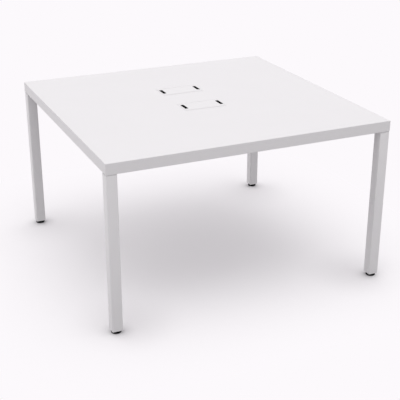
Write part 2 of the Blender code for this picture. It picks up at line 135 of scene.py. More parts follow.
class TableScrewSizes(bpy.types.PropertyGroup):
    """Sizes and places of the pan-head screws."""

    head_radius: length("Head radius", "Radius of the screw head", 0.0046)
    head_height: length("Head height", "Height of the screw head", 0.0024)
    shank_radius: length("Shank radius", "Radius of the shank", 0.002)
    shank: length("Shank", "Length of the shank that shows in the hole", 0.0015)
    recess_width: length("Recess width", "Width of one arm of the cross recess", 0.0012)
    recess_reach: length("Recess reach", "Reach of the cross recess from the middle", 0.0027)
    recess_depth: length("Recess depth", "Depth of the cross recess", 0.0015)
    tray_flange: length("Tray flange", "Width of the flange that the tray screws hold", 0.025)
    tray_end: length("Tray end", "End screws of the tray, from its ends", 0.030)
    tray_sheet: length("Tray sheet", "Thickness of the tray's sheet", 0.0015)
    rail_end: length("Rail end", "End screws of a rail, from its ends", 0.060)


class TableFinishes(bpy.types.PropertyGroup):
    """Colours, roughness and relief of the table's materials."""

    laminate: colour("Laminate", "White melamine face of the top", (0.858, 0.836, 0.856))
    banding: colour("Edge band", "White band round the edge of the top", (0.840, 0.818, 0.837))
    coat: colour("White coat", "White powder coat of the legs", (0.860, 0.840, 0.857))
    grey: colour("Grey coat", "Grey powder coat of the rails and tray", (0.42, 0.43, 0.44))
    moulded: colour("White plastic", "White moulding of the port rings and lids", (0.862, 0.842, 0.860))
    black: colour("Black plastic", "Moulding of wells, outlets, plugs and discs", (0.004, 0.004, 0.0045))
    rubber: colour("Rubber", "Black rubber of the soles", (0.020, 0.020, 0.021))
    zinc: colour("Dark zinc", "Dark plating of the studs and rods", (0.20, 0.20, 0.21))
    screw_zinc: colour("Bright zinc", "Brighter plating of the screws", (0.38, 0.38, 0.399))
    chip_light: colour("Light chips", "Light chips in the core of the board", (0.56, 0.41, 0.25))
    chip_dark: colour("Dark chips", "Dark chips in the core of the board", (0.27, 0.17, 0.09))
    glue: colour("Glue", "Glue line between the board and its band", (0.74, 0.72, 0.71))
    dust: colour("Dust", "Floor dust on the discs of the feet", (0.30, 0.29, 0.28))
    dust_cover: share("Dust cover", "Share of a disc that the dust hides at most", 0.025)
    dust_top: length("Dust top", "Height above the floor at which the dust ends", 0.012)
    # Painted shade on the plates' outer edges, standing in for the shadow in the joint under the top.
    joint_shade: share("Joint tone", "Tone of the plates' outer edges, as a share of the coat's", 0.80)
    face_layer: length("Face layer", "Thickness of the melamine face", 0.0006)
    coat_peel: length("Coat peel", "Depth of the orange peel of the white coat", 0.00005)
    grey_peel: length("Grey peel", "Depth of the orange peel of the grey coat", 0.00006)
    laminate_roughness: share("Laminate roughness", "Middling roughness of the melamine face", 0.46)
    core_roughness: share("Core roughness", "Roughness of the chips in the board", 0.85)
    coat_roughness: share("Coat roughness", "Middling roughness of the white coat", 0.42)
    grey_roughness: share("Grey roughness", "Middling roughness of the grey coat", 0.45)
    moulded_roughness: share("White plastic roughness", "Least roughness of the white moulding", 0.44)
    black_roughness: share("Black plastic roughness", "Least roughness of the black moulding", 0.42)
    rubber_roughness: share("Rubber roughness", "Least roughness of the soles", 0.62)
    zinc_roughness: share("Zinc roughness", "Least roughness of the plating", 0.30)
    glue_roughness: share("Glue roughness", "Least roughness of the glue", 0.45)


class TableStage(bpy.types.PropertyGroup):
    """Floor, light and camera."""

    floor: colour("Floor", "Colour of the floor and of the background", (0.974, 0.947, 0.974))
    bounce: share("Bounce", "Share of its light that the floor throws back at the table", 0.39)
    floor_reach: length("Floor reach", "Half the width of the floor", 40.0)
    fade_start: length("Fade start", "Distance from its centre at which the floor begins to fade", 0.27)
    fade_end: length("Fade end", "Distance from its centre at which only the backdrop is left", 1.13)
    fade_centre: bpy.props.FloatVectorProperty(
        name="Fade centre",
        description="Place round which the floor fades",
        default=(-0.02, 0.10),
        size=2,
        unit="LENGTH",
    )
    foot_shadow: length("Foot shadow", "Reach of the shadow at a foot, in which the floor fades less", 0.27)
    shadow_inset: length("Shadow inset", "How far inside a foot the middle of its shadow lies", 0.057)
    contact_reach: length("Contact reach", "Distance from a foot within which the floor is darker", 0.06)
    contact: share("Contact shade", "Share of the hidden light that the floor loses beside a foot", 0.50)
    sky: bpy.props.FloatProperty(name="Light", description="Level of the studio light", default=1.0, min=0)
    tilt: bpy.props.FloatVectorProperty(
        name="Light tilt",
        description="Direction in which the studio light grows stronger",
        default=(-0.04, 0.15, 0.0),
        subtype="XYZ",
    )
    eye: bpy.props.FloatVectorProperty(
        name="Camera",
        description="Where the camera stands",
        default=(-1.5543, -3.5253, 1.8800),
        subtype="TRANSLATION",
    )
    yaw: angle("Camera turn", "Turn of the camera to the right of the table's front", 24.126)
    pitch: angle("Camera pitch", "How far the camera looks down", 23.078)
    view: angle("Camera view", "Angle of view across the picture", 25.02)


class Wire:
    """A socket of a node tree. Arithmetic on it adds Math nodes."""

    def __init__(self, wiring, socket):
        self.wiring = wiring
        self.socket = socket

    def __add__(self, other):
        return self.wiring.maths("ADD", self, other)

    def __radd__(self, other):
        return self.wiring.maths("ADD", other, self)

    def __sub__(self, other):
        return self.wiring.maths("SUBTRACT", self, other)

    def __rsub__(self, other):
        return self.wiring.maths("SUBTRACT", other, self)

    def __mul__(self, other):
        return self.wiring.maths("MULTIPLY", self, other)

    def __rmul__(self, other):
        return self.wiring.maths("MULTIPLY", other, self)

    def __gt__(self, other):
        return self.wiring.maths("GREATER_THAN", self, other)

    def __lt__(self, other):
        return self.wiring.maths("LESS_THAN", self, other)


class Wiring:
    """A node tree under construction."""

    def __init__(self, tree):
        self.tree = tree

    @staticmethod
    def find(sockets, key):
        """Socket by its number, identifier or name."""
        if isinstance(key, int):
            return sockets[key]
        return next(socket for socket in sockets if key in (socket.identifier, socket.name))

    def put(self, socket, value):
        """Link a wire to a socket, or set the socket's own value."""
        if isinstance(value, Wire):
            self.tree.links.new(value.socket, socket)
        else:
            socket.default_value = value

    def node(self, kind, settings, sockets, output=0):
        """Any node: its settings first, then the values or wires of its sockets."""
        made = self.tree.nodes.new(kind)
        for key, value in settings.items():
            setattr(made, key, value)
        for key, value in sockets.items():
            self.put(self.find(made.inputs, key), value)
        return Wire(self, self.find(made.outputs, output)) if made.outputs else None

    def maths(self, operation, *values):
        """Math node on values or wires."""
        return self.node("ShaderNodeMath", {"operation": operation}, dict(enumerate(values)))

    def between(self, value, low, high):
        """0 below low, 1 above high, and smooth in between."""
        sockets = {"Value": value, "From Min": low, "From Max": high}
        return self.node("ShaderNodeMapRange", {"interpolation_type": "SMOOTHSTEP"}, sockets)

    def mix(self, factor, first, second):
        """Colour between two colours."""
        sockets = {"Factor_Float": factor}
        for key, value in (("A_Color", first), ("B_Color", second)):
            sockets[key] = value if isinstance(value, Wire) else (*value, 1.0)
        return self.node("ShaderNodeMix", {"data_type": "RGBA"}, sockets, "Result_Color")

    def mix_shaders(self, factor, first, second):
        """Shader between two shaders."""
        return self.node("ShaderNodeMixShader", {}, {0: factor, 1: first, 2: second})


class Finish(Wiring):
    """A Principled material under construction, patterned in the table's own metres."""

    def __init__(self, name):
        self.material = bpy.data.materials.new(name)
        self.material.use_nodes = True
        super().__init__(self.material.node_tree)
        self.shader = self.tree.nodes["Principled BSDF"]
        self.place = self.node("ShaderNodeTexCoord", {}, {}, "Object")

    def set(self, **sockets):
        """Values or wires of the shader's own sockets, their names written with underscores."""
        for key, value in sockets.items():
            self.put(self.shader.inputs[key.replace("_", " ").title().replace("Ior", "IOR")], value)

    def stretched(self, per_metre):
        """Object coordinates, scaled along each axis."""
        return self.node("ShaderNodeMapping", {}, {"Vector": self.place, "Scale": per_metre})

    def noise(self, per_metre, detail=2.0, place=None):
        """Cloudy pattern from 0 to 1, with about this many clouds to the metre."""
        sockets = {"Vector": place or self.place, "Scale": per_metre, "Detail": detail}
        return self.node("ShaderNodeTexNoise", {}, sockets)

    def streaks(self, per_metre):
        """Cloudy pattern from 0 to 1, with its own number of clouds to the metre along each axis."""
        return self.noise(per_metre=1.0, place=self.stretched(per_metre))

    def tinted(self, tone, pattern, darkest, lightest):
        """A tone that goes with a pattern from its darkest to its lightest level."""
        return self.mix(pattern, shade(tone, darkest), shade(tone, lightest))

    def axis(self, name):
        """One of the object coordinates."""
        return self.node("ShaderNodeSeparateXYZ", {}, {"Vector": self.place}, name)

    def bump(self, height, depth):
        """Relief of the given depth, from a pattern of about 0 to 1."""
        self.set(normal=self.node("ShaderNodeBump", {}, {"Height": height, "Distance": depth}))


def shade(tone, level):
    """A colour made lighter or darker."""
    return tuple(min(part * level, 1.0) for part in tone)


def faced_board(name, finishes, low, high):
    """Chipboard between two melamine faces: fine pearl grain on the faces, pressed chips between them."""
    finish = Finish(name)
    off_middle = finish.maths("ABSOLUTE", finish.axis("Z") - (low + high) / 2)
    face = off_middle > (high - low) / 2 - finishes.face_layer
    cloud = finish.noise(per_metre=5.0, detail=3.0)
    pearl = finish.noise(per_metre=1300.0)
    smudge = finish.noise(per_metre=9.0, detail=4.0)
    white = finish.tinted(finishes.laminate, cloud, darkest=0.988, lightest=1.010)
    flat_chips = finish.stretched((170.0, 170.0, 620.0))
    cell = finish.node("ShaderNodeTexVoronoi", {}, {"Vector": flat_chips, "Scale": 1.0}, "Color")
    chip = finish.node("ShaderNodeSeparateColor", {}, {"Color": cell})
    dust = finish.noise(per_metre=2200.0, detail=3.0)
    wood = finish.mix(chip * 0.75 + dust * 0.25, finishes.chip_dark, finishes.chip_light)
    smooth = finishes.laminate_roughness - 0.05 + smudge * 0.10
    rough = (1.0 - face) * finishes.core_roughness
    finish.set(base_color=finish.mix(face, wood, white), roughness=face * smooth + rough)
    finish.bump(face * pearl * 0.15 + (1.0 - face) * chip, depth=0.00025)
    return finish.material


def banding(finishes):
    """Plastic edge band: a fine brushed scrape along the edge from trimming, and a soft pearl grain."""
    finish = Finish("white_band")
    cloud = finish.noise(per_metre=7.0, detail=3.0)
    pearl = finish.noise(per_metre=1500.0)
    scrape = finish.streaks((14.0, 14.0, 1800.0))
    finish.set(base_color=finish.tinted(finishes.banding, cloud, darkest=0.985, lightest=1.008))
    finish.set(roughness=finishes.laminate_roughness - 0.06 + scrape * 0.10)
    finish.bump(pearl * 0.6 + scrape * 0.4, depth=0.00003)
    return finish.material


def powder_coat(name, tone, roughness, peel, reach=None, joint_shade=1.0):
    """Baked powder coat: orange peel about a millimetre across, faint clouds, less gloss in patches.

    Faces further out than reach in X or Y are darkened towards the joint's level, mottled by the clouds:
    painted shade for the shadow in the joint under the top.
    """
    finish = Finish(name)
    cloud = finish.noise(per_metre=11.0, detail=3.0)
    orange = finish.noise(per_metre=750.0, detail=1.0)
    speck = finish.noise(per_metre=3200.0, detail=1.0)
    coat = finish.tinted(tone, cloud, darkest=0.982, lightest=1.012)
    # Painted shade: faces beyond reach darken, for the shadow in the joint under the top.
    if reach:
        x, y = (finish.maths("ABSOLUTE", finish.axis(axis)) for axis in "XY")
        shaded_edge = finish.maths("MAXIMUM", x - reach[0], y - reach[1]) > 0.0
        coat = finish.mix(shaded_edge * (0.75 + cloud * 0.5), coat, shade(tone, joint_shade))
    finish.set(base_color=coat, roughness=roughness - 0.06 + cloud * 0.08 + speck * 0.06)
    finish.bump(orange * 0.8 + speck * 0.2, depth=peel)
    return finish.material


def moulded_white(finishes):
    """White moulding with the fine even spark grain of its tool."""
    finish = Finish("white_plastic")
    cloud = finish.noise(per_metre=24.0)
    grain = finish.noise(per_metre=2100.0)
    finish.set(base_color=finish.tinted(finishes.moulded, cloud, darkest=0.985, lightest=1.008))
    finish.set(roughness=finishes.moulded_roughness + grain * 0.12)
    finish.bump(grain, depth=0.00005)
    return finish.material


def moulded_black(name, finishes, dusty=False):
    """Black moulding: matt grain, a paler bloom in patches and, if dusty, dust that thins out upwards."""
    finish = Finish(name)
    cloud = finish.noise(per_metre=60.0, detail=3.0)
    grain = finish.noise(per_metre=1900.0)
    black = finish.tinted(finishes.black, cloud, darkest=0.8, lightest=1.7)
    if dusty:
        low_down = 1.0 - finish.between(finish.axis("Z"), 0.0, finishes.dust_top)
        dust = low_down * finish.noise(per_metre=380.0, detail=4.0) * finishes.dust_cover
        black = finish.mix(dust, black, finishes.dust)
    roughness = finishes.black_roughness + cloud * 0.16 + grain * 0.05
    finish.set(base_color=black, roughness=roughness, specular_ior_level=0.08)
    finish.bump(grain, depth=0.00006)
    return finish.material


def rubber(finishes):
    """Black rubber, dull and a little dusty."""
    finish = Finish("black_rubber")
    cloud = finish.noise(per_metre=150.0, detail=4.0)
    grain = finish.noise(per_metre=1400.0, detail=3.0)
    finish.set(base_color=finish.tinted(finishes.rubber, cloud, darkest=1.0, lightest=2.6))
    finish.set(roughness=finishes.rubber_roughness + cloud * 0.16, specular_ior_level=0.30)
    finish.bump(grain, depth=0.00008)
    return finish.material


def plated(name, tone, finishes):
    """Zinc plating: metal with drifting tint and fine turning marks."""
    finish = Finish(name)
    drift = finish.noise(per_metre=170.0, detail=3.0)
    marks = finish.streaks((260.0, 260.0, 5200.0))
    finish.set(base_color=finish.tinted(tone, drift, darkest=0.78, lightest=1.25))
    finish.set(metallic=1.0, roughness=finishes.zinc_roughness + marks * 0.14 + drift * 0.08)
    finish.bump(marks, depth=0.00002)
    return finish.material


def glue_line(finishes):
    """Set glue in a joint: slightly uneven in tone and gloss."""
    finish = Finish("edge_glue")
    cloud = finish.noise(per_metre=90.0, detail=3.0)
    finish.set(base_color=finish.tinted(finishes.glue, cloud, darkest=0.95, lightest=1.06))
    finish.set(roughness=finishes.glue_roughness + cloud * 0.2)
    finish.bump(cloud, depth=0.00004)
    return finish.material


def wear(material, *nodes):
    """Give CAD nodes a material in place of their plain one."""
    for name in nodes:
        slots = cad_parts[name].data.materials
        slots.clear()
        slots.append(material)


def grid_faces(rows, columns, ring):
    """Corner numbers of the quads over a grid of points: its rows are closed, in a ring its columns too."""
    index = np.arange(rows * columns).reshape(rows, columns)
    index = np.hstack([index, index[:, :1]])
    if ring:
        index = np.vstack([index, index[:1]])
    quads = [index[:-1, :-1], index[:-1, 1:], index[1:, 1:], index[1:, :-1]]
    return np.stack(quads, axis=-1).reshape(-1, 4)


def enclosed(points, faces):
    """Volume inside closed quads: a third of the sum of each face's middle dotted with its area vector."""
    corner = points[faces]
    area = np.cross(corner[:, 2] - corner[:, 0], corner[:, 3] - corner[:, 1]) / 2
    return np.einsum("ij,ij->", corner.mean(axis=1), area) / 3


def surface(name, grid, material, ring=False, places=ORIGIN):
    """Piece from a grid of points (rows, columns, 3), repeated at each place.

    Its poles are merged and its faces point outwards.
    """
    rows, columns = grid.shape[:2]
    shape = grid.reshape(-1, 3)
    faces = grid_faces(rows, columns, ring)
    if enclosed(shape, faces) < 0:
        faces = faces[:, ::-1]
    places = np.asarray(places)
    points = (shape[None] + places[:, None]).reshape(-1, 3)
    starts = np.arange(len(places)) * len(shape)
    all_faces = (faces[None] + starts[:, None, None]).reshape(-1, 4)
    data = bpy.data.meshes.new(name)
    data.from_pydata(points.tolist(), [], all_faces.tolist())
    welded = bmesh.new()
    welded.from_mesh(data)
    bmesh.ops.remove_doubles(welded, verts=welded.verts, dist=MERGE_DISTANCE)
    bmesh.ops.dissolve_degenerate(welded, dist=MERGE_DISTANCE, edges=welded.edges)
    welded.to_mesh(data)
    welded.free()
    data.shade_smooth()
    data.set_sharp_from_angle(angle=SMOOTH_ANGLE)
    data.materials.append(material)
    piece = bpy.data.objects.new(name, data)
    bpy.context.scene.collection.objects.link(piece)
    return piece


def quarter_turns(steps):
    """Angles round the four corners of a loop, one row for each quarter turn."""
    return (np.arange(4)[:, None] + np.linspace(0, 1, steps)) * np.pi / 2


def rounded_loop(half_a, half_b, radius, steps):
    """Loop round a rectangle: each corner's centre plus radius times (cos, sin) over its quarter turn."""
    turn = quarter_turns(steps)
    a = LOOP_SIDES[:, :1] * (half_a - radius) + radius * np.cos(turn)
    b = LOOP_SIDES[:, 1:] * (half_b - radius) + radius * np.sin(turn)
    return np.stack([a, b], axis=-1).reshape(-1, 2)


def revolved(profile, columns):
    """Profile of (radius, height) points turned about the Z axis: (r cos t, r sin t, z)."""
    turn = np.linspace(0, 2 * np.pi, columns, endpoint=False)
    radius, height = profile[:, :1], profile[:, 1:]
    return np.stack([radius * np.cos(turn), radius * np.sin(turn), height + 0 * turn], axis=-1)


def arc(centre, radius, first, last, steps):
    """Arc of a profile: centre plus radius times (cos, sin), from one angle to another in degrees."""
    turn = np.radians(np.linspace(first, last, steps))
    return np.stack([centre[0] + radius * np.cos(turn), centre[1] + radius * np.sin(turn)], axis=-1)


def corner_of(name):
    """Middle, half width, lowest and highest level of the leg at a corner, and its side of the table."""
    low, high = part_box("leg_" + name)
    middle = np.array([(low.x + high.x) / 2, (low.y + high.y) / 2, 0.0])
    return middle, (high.x - low.x) / 2, low.z, high.z, np.sign(middle[:2])


def leg_tube(half, sizes, low, high):
    """Square tube: the wall's section, a loop of (inset, height), carried round a rounded square.

    A point is the corner's centre plus (rounding - inset) times (cos, sin), at the section's height.
    """
    end_steps = 4
    corner_steps = 9
    section = rounded_loop(sizes.wall / 2, (high - low) / 2, sizes.easing, end_steps)
    inset = section[:, :1] + sizes.wall / 2
    height = section[:, 1:] + (low + high) / 2
    turn = quarter_turns(corner_steps).ravel()
    centre = np.repeat(LOOP_SIDES, corner_steps, axis=0) * (half - sizes.rounding)
    radius = sizes.rounding - inset
    x = centre[:, 0] + radius * np.cos(turn)
    y = centre[:, 1] + radius * np.sin(turn)
    return np.stack([x, y, height + 0 * turn], axis=-1)


def weld_bead(half, sizes, top, side):
    """Weld where the plate overhangs the leg: a quarter-round bead along two faces and round their corner.

    Its width is the weld's size times a ripple, 1 + 0.07 cos(2 pi s / ripple), with s the way along it, and
    is drawn in to nothing at its ends.
    """
    steps = 150
    face_steps = 7
    ripple_depth = 0.07
    straight = 2 * half - sizes.weld_start - sizes.rounding
    bend = sizes.rounding * np.pi / 2
    along = np.linspace(0, 2 * straight + bend, steps)
    turn = np.clip((along - straight) / bend, 0, 1) * np.pi / 2
    before = np.minimum(along, straight)
    after = np.maximum(along - straight - bend, 0)
    # u and v run from the leg's middle towards the middle of the table.
    centre = half - sizes.rounding
    u = centre + sizes.rounding * np.cos(turn) - after
    v = centre + sizes.rounding * np.sin(turn) - (straight - before)
    ends = np.clip(np.minimum(along, along[-1] - along) / sizes.weld, 0, 1)
    ripple = 1 + ripple_depth * np.cos(2 * np.pi * along / sizes.ripple)
    size = sizes.weld * np.sqrt(1 - (1 - ends) ** 2) * ripple
    face = np.linspace(0, np.pi / 2, face_steps)
    inside = -WELD_OVERLAP / sizes.weld
    out = np.append(np.cos(face), [inside, inside])
    down = np.append(np.sin(face), [1.0, 0.0])
    x = side[0] * -(u[:, None] + np.cos(turn)[:, None] * size[:, None] * out)
    y = side[1] * -(v[:, None] + np.sin(turn)[:, None] * size[:, None] * out)
    return np.stack([x, y, top - size[:, None] * down], axis=-1)


def pan_screw(sizes):
    """Pan-head screw that hangs head down from its seat at zero, with a cross recess in the head.

    The head is z = -h sqrt(1 - (r / R)^4); the recess raises it by its depth where x or y lies in an arm.
    """
    columns = 48
    # Shares of an arm's width and reach: its width in the middle, how it narrows, and its slopes.
    middle_width = 1.15
    narrowing = 0.4
    side_slope = 0.35
    end_slope = 0.55
    recessed = np.linspace(0, 0.66, 13)
    rim = np.array([0.75, 0.84, 0.91, 0.96, 0.99, 1.0])
    radius = sizes.head_radius * np.concatenate([recessed, rim])
    turn = np.linspace(0, 2 * np.pi, columns, endpoint=False)
    crown = -sizes.head_height * np.sqrt(1 - (radius / sizes.head_radius) ** 4)
    x = radius[:, None] * np.cos(turn)
    y = radius[:, None] * np.sin(turn)

    def arm(across, outward):
        """Share of the depth in one arm, which narrows outwards and has sloping sides and a sloping end."""
        half = sizes.recess_width / 2 * (middle_width - narrowing * np.abs(outward) / sizes.recess_reach)
        inside = np.clip((half - np.abs(across)) / (side_slope * half) + 0.5, 0, 1)
        reach = np.clip((sizes.recess_reach - np.abs(outward)) / (end_slope * sizes.recess_reach), 0, 1)
        return inside * reach

    sunk = sizes.recess_depth * np.maximum(arm(x, y), arm(y, x))
    head = np.stack([x, y, crown[:, None] + sunk], axis=-1)
    rest = np.array([[sizes.shank_radius, 0.0], [sizes.shank_radius, sizes.shank], [0.0, sizes.shank]])
    return np.concatenate([head, revolved(rest, columns)])


def screw_thread(sizes, low, high):
    """Right-hand thread: its radius is R less the depth times a flat-topped wave of z / pitch - t / (2 pi).

    The ends are chamfered to just under the thread's root and closed by flat caps.
    """
    columns = 40
    rows_per_turn = 8
    flank_slope = 1.35
    crest_flat = 0.12
    end_step = 0.0002
    turn = np.linspace(0, 2 * np.pi, columns, endpoint=False)
    rows = int(round((high - low) / sizes.pitch * rows_per_turn))
    height = np.linspace(low, high, rows)[:, None]
    phase = (height / sizes.pitch - turn / (2 * np.pi)) % 1.0
    wave = np.clip(np.abs(phase - 0.5) * 2 * flank_slope - crest_flat, 0, 1)
    root = sizes.stud_radius - sizes.thread_depth
    chamfer = root - end_step + np.minimum(height - low, high - height)
    radius = np.minimum(sizes.stud_radius - sizes.thread_depth * wave, chamfer)
    body = np.stack([radius * np.cos(turn), radius * np.sin(turn), height + 0 * turn], axis=-1)
    cap_low = revolved(np.array([[0.0, low]]), columns)
    cap_high = revolved(np.array([[0.0, high]]), columns)
    return np.concatenate([cap_low, body, cap_high])


def foot_disc(sizes, low, high, ceiling, socket_floor):
    """Turned disc: a profile with a sole's hollow, a rounded rim and a stud's socket, spun on Z."""
    columns = 96
    rim_steps = 8
    lip_steps = 4
    lip = 0.0003
    bevel = 0.0004
    sole_gap = 0.00025
    stud_gap = 0.0003
    easing = sizes.disc_rounding
    hollow = sizes.sole_radius + sole_gap
    socket = sizes.stud_radius + stud_gap
    rim = sizes.disc_radius - easing
    profile = np.concatenate([
        [[0.0, ceiling], [hollow - bevel, ceiling], [hollow, ceiling - bevel]],
        arc((hollow + lip, low + lip), lip, 180, 270, lip_steps),
        arc((rim, low + easing), easing, -90, 0, rim_steps),
        arc((rim, high - easing), easing, 0, 90, rim_steps),
        arc((socket + lip, high - lip), lip, 90, 180, lip_steps),
        [[socket, socket_floor], [0.0, socket_floor]],
    ])
    return revolved(profile, columns)


def foot_sole(sizes, low, high):
    """Rubber sole: a profile with a grooved underside, a plain land and an eased rim, spun on Z.

    The underside rises in rings to low + d sqrt(max(0, cos(2 pi r / groove))).
    """
    columns = 72
    groove_steps = 70
    rim_steps = 5
    easing = 0.0006
    groove_end = sizes.sole_radius - 0.0012
    land_start = sizes.sole_radius - 0.0011
    edge = sizes.sole_radius - easing
    radius = np.linspace(0, groove_end, groove_steps)
    ring = np.maximum(np.cos(2 * np.pi * radius / sizes.groove), 0)
    under = np.stack([radius, low + sizes.groove_depth * np.sqrt(ring)], axis=-1)
    profile = np.concatenate([
        under,
        [[land_start, low]],
        arc((edge, low + easing), easing, -90, 0, rim_steps),
        arc((edge, high - easing), easing, 0, 90, rim_steps),
        [[0.0, high]],
    ])
    return revolved(profile, columns)


def glue_ring(box, joint):
    """Glue in the joint between board and band: a thin upright section carried round the board.

    A point is the joint's corner, moved out by the section's way across, at the section's height.
    """
    low, high = box
    half_wide = (joint - CLEARANCE) / 2
    half_tall = (high.z - low.z) / 2 - CLEARANCE
    section = np.array([[-1, -1], [1, -1], [1, 1], [-1, 1]]) * (half_wide, half_tall)
    corner = np.array([high.x, high.y]) + half_wide
    plan = LOOP_SIDES[:, None] * (corner + section[:, :1])
    height = np.broadcast_to((low.z + high.z) / 2 + section[:, 1:], (4, 4, 1))
    return np.concatenate([plan, height], axis=-1)


class TABLE_OT_top(bpy.types.Operator):
    """Finish the board, its strips and bands, and lay the glue line between them"""

    bl_idname = "table.top"
    bl_label = "Top"

    def execute(self, context):
        finishes = context.scene.table_finishes
        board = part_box("tabletop_board")
        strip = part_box("edge_strip_front")
        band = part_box("edge_band_right")
        wear(faced_board("white_board", finishes, board[0].z, board[1].z), "tabletop_board")
        strips = ["edge_strip_" + side for side in SIDES]
        wear(faced_board("board_core", finishes, strip[0].z, strip[1].z), *strips)
        wear(banding(finishes), *["edge_band_" + side for side in SIDES])
        ring = glue_ring(board, band[0].x - board[1].x)
        glue = surface("edge_glue", ring, glue_line(finishes), ring=True)
        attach(glue, "table")
        return {"FINISHED"}


class TABLE_OT_legs(bpy.types.Operator):
    """Make smooth legs and their welds, and finish the leg plates"""

    bl_idname = "table.legs"
    bl_label = "Legs"

    def execute(self, context):
        finishes = context.scene.table_finishes
        sizes = context.scene.table_legs
        paint = (finishes.coat, finishes.coat_roughness, finishes.coat_peel)
        coat = powder_coat("white_paint", *paint)
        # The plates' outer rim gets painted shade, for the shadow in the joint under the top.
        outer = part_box("leg_plate_back_right")[1]
        reach = (outer.x - SHADED_RIM, outer.y - SHADED_RIM)
        plate_coat = powder_coat("plate_paint_shaded_edge", *paint, reach, finishes.joint_shade)
        wear(plate_coat, *["leg_plate_" + corner for corner in CORNERS])
        for corner in CORNERS:
            middle, half, low, high, side = corner_of(corner)
            plate_low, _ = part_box("leg_plate_" + corner)
            tube = surface("leg_tube_" + corner, leg_tube(half, sizes, low, high) + middle, coat, ring=True)
            bead = weld_bead(half, sizes, plate_low.z, side) + middle
            weld = surface("leg_weld_" + corner, bead, coat)
            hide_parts("leg_" + corner)
            for piece in (tube, weld):
                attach(piece, "table")
        return {"FINISHED"}


class TABLE_OT_screws(bpy.types.Operator):
    """Put pan-head screws in the leg plates, the tray flanges and the rails"""

    bl_idname = "table.screws"
    bl_label = "Screws"

    def execute(self, context):
        finishes = context.scene.table_finishes
        sizes = context.scene.table_screws
        inset = context.scene.table_legs.hole_inset
        zinc = plated("screw_zinc", finishes.screw_zinc, finishes)
        screw = pan_screw(sizes)
        groups = {}
        # A plate has a hole beside each inner face of the leg and one off its inner corner.
        for corner in CORNERS:
            middle, half, _, _, side = corner_of(corner)
            low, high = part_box("leg_plate_" + corner)
            inner = low if side[0] > 0 else high
            far = abs(inner.x - middle[0]) - inset
            near = 2 * inset - half
            holes = np.array([[far, near], [near, far], [half + inset, half + inset]])
            plan = middle[:2] - side * holes
            groups["plate_screws_" + corner] = np.column_stack([plan, np.full(len(plan), low.z)])
        low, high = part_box("cable_tray")
        flanges = [low.x + sizes.tray_flange / 2, high.x - sizes.tray_flange / 2]
        rows = [low.y + sizes.tray_end, (low.y + high.y) / 2, high.y - sizes.tray_end]
        x = np.repeat(flanges, len(rows))
        y = np.tile(rows, len(flanges))
        groups["tray_screws"] = np.column_stack([x, y, np.full(len(x), high.z - sizes.tray_sheet)])
        per_rail = 4
        for end in ("front", "back"):
            low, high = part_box("stiffener_rail_" + end)
            x = np.linspace(low.x + sizes.rail_end, high.x - sizes.rail_end, per_rail)
            y = np.full(per_rail, (low.y + high.y) / 2)
            groups["rail_screws_" + end] = np.column_stack([x, y, np.full(per_rail, low.z)])
        for name, places in groups.items():
            screws = surface(name, screw, zinc, places=places)
            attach(screws, "table")
        return {"FINISHED"}


class TABLE_OT_feet(bpy.types.Operator):
    """Make the levelling feet: threaded stud, turned disc and grooved sole, and finish the plugs"""

    bl_idname = "table.feet"
    bl_label = "Feet"

    def execute(self, context):
        finishes = context.scene.table_finishes
        sizes = context.scene.table_feet
        black = moulded_black("black_plastic", finishes, dusty=True)
        sole_rubber = rubber(finishes)
        zinc = plated("dark_zinc", finishes.zinc, finishes)
        wear(moulded_black("plug_plastic", finishes), *["leg_plug_" + corner for corner in CORNERS])
        for corner in CORNERS:
            middle = corner_of(corner)[0]
            stud_low, stud_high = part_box("foot_stud_" + corner)
            disc_low, disc_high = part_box("foot_disc_" + corner)
            sole_low, sole_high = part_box("foot_sole_" + corner)
            ceiling = sole_high.z + CLEARANCE
            socket_floor = stud_low.z - CLEARANCE
            disc_shape = foot_disc(sizes, disc_low.z, disc_high.z, ceiling, socket_floor) + middle
            disc = surface("foot_turned_disc_" + corner, disc_shape, black)
            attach(disc, "foot_" + corner)
            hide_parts("foot_disc_" + corner)
            thread_shape = screw_thread(sizes, stud_low.z, stud_high.z) + middle
            thread = surface("foot_thread_" + corner, thread_shape, zinc)
            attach(thread, "foot_" + corner)
            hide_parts("foot_stud_" + corner)
            sole_shape = foot_sole(sizes, sole_low.z, sole_high.z) + middle
            sole = surface("foot_grooved_sole_" + corner, sole_shape, sole_rubber)
            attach(sole, "sole_" + corner)
            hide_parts("foot_sole_" + corner)
        return {"FINISHED"}


class TABLE_OT_ports(bpy.types.Operator):
    """Finish the rings, lids, outlets, wells and hinge rods of the cable ports"""

    bl_idname = "table.ports"
    bl_label = "Cable ports"

    def execute(self, context):
        finishes = context.scene.table_finishes
        white = moulded_white(finishes)
        black = moulded_black("well_plastic", finishes)
        zinc = plated("rod_zinc", finishes.zinc, finishes)
        for port in PORTS:
            wear(white, "port_bezel_" + port, "port_lid_" + port)
            wear(black, "port_well_" + port, "port_outlet_%s_left" % port, "port_outlet_%s_right" % port)
            wear(zinc, "port_rod_" + port)
        return {"FINISHED"}


class TABLE_OT_underframe(bpy.types.Operator):
    """Finish the stiffener rails and the cable tray"""

    bl_idname = "table.underframe"
    bl_label = "Rails and tray"

    def execute(self, context):
        finishes = context.scene.table_finishes
        grey = powder_coat("grey_steel", finishes.grey, finishes.grey_roughness, finishes.grey_peel)
        wear(grey, "stiffener_rail_front", "stiffener_rail_back", "cable_tray")
        return {"FINISHED"}


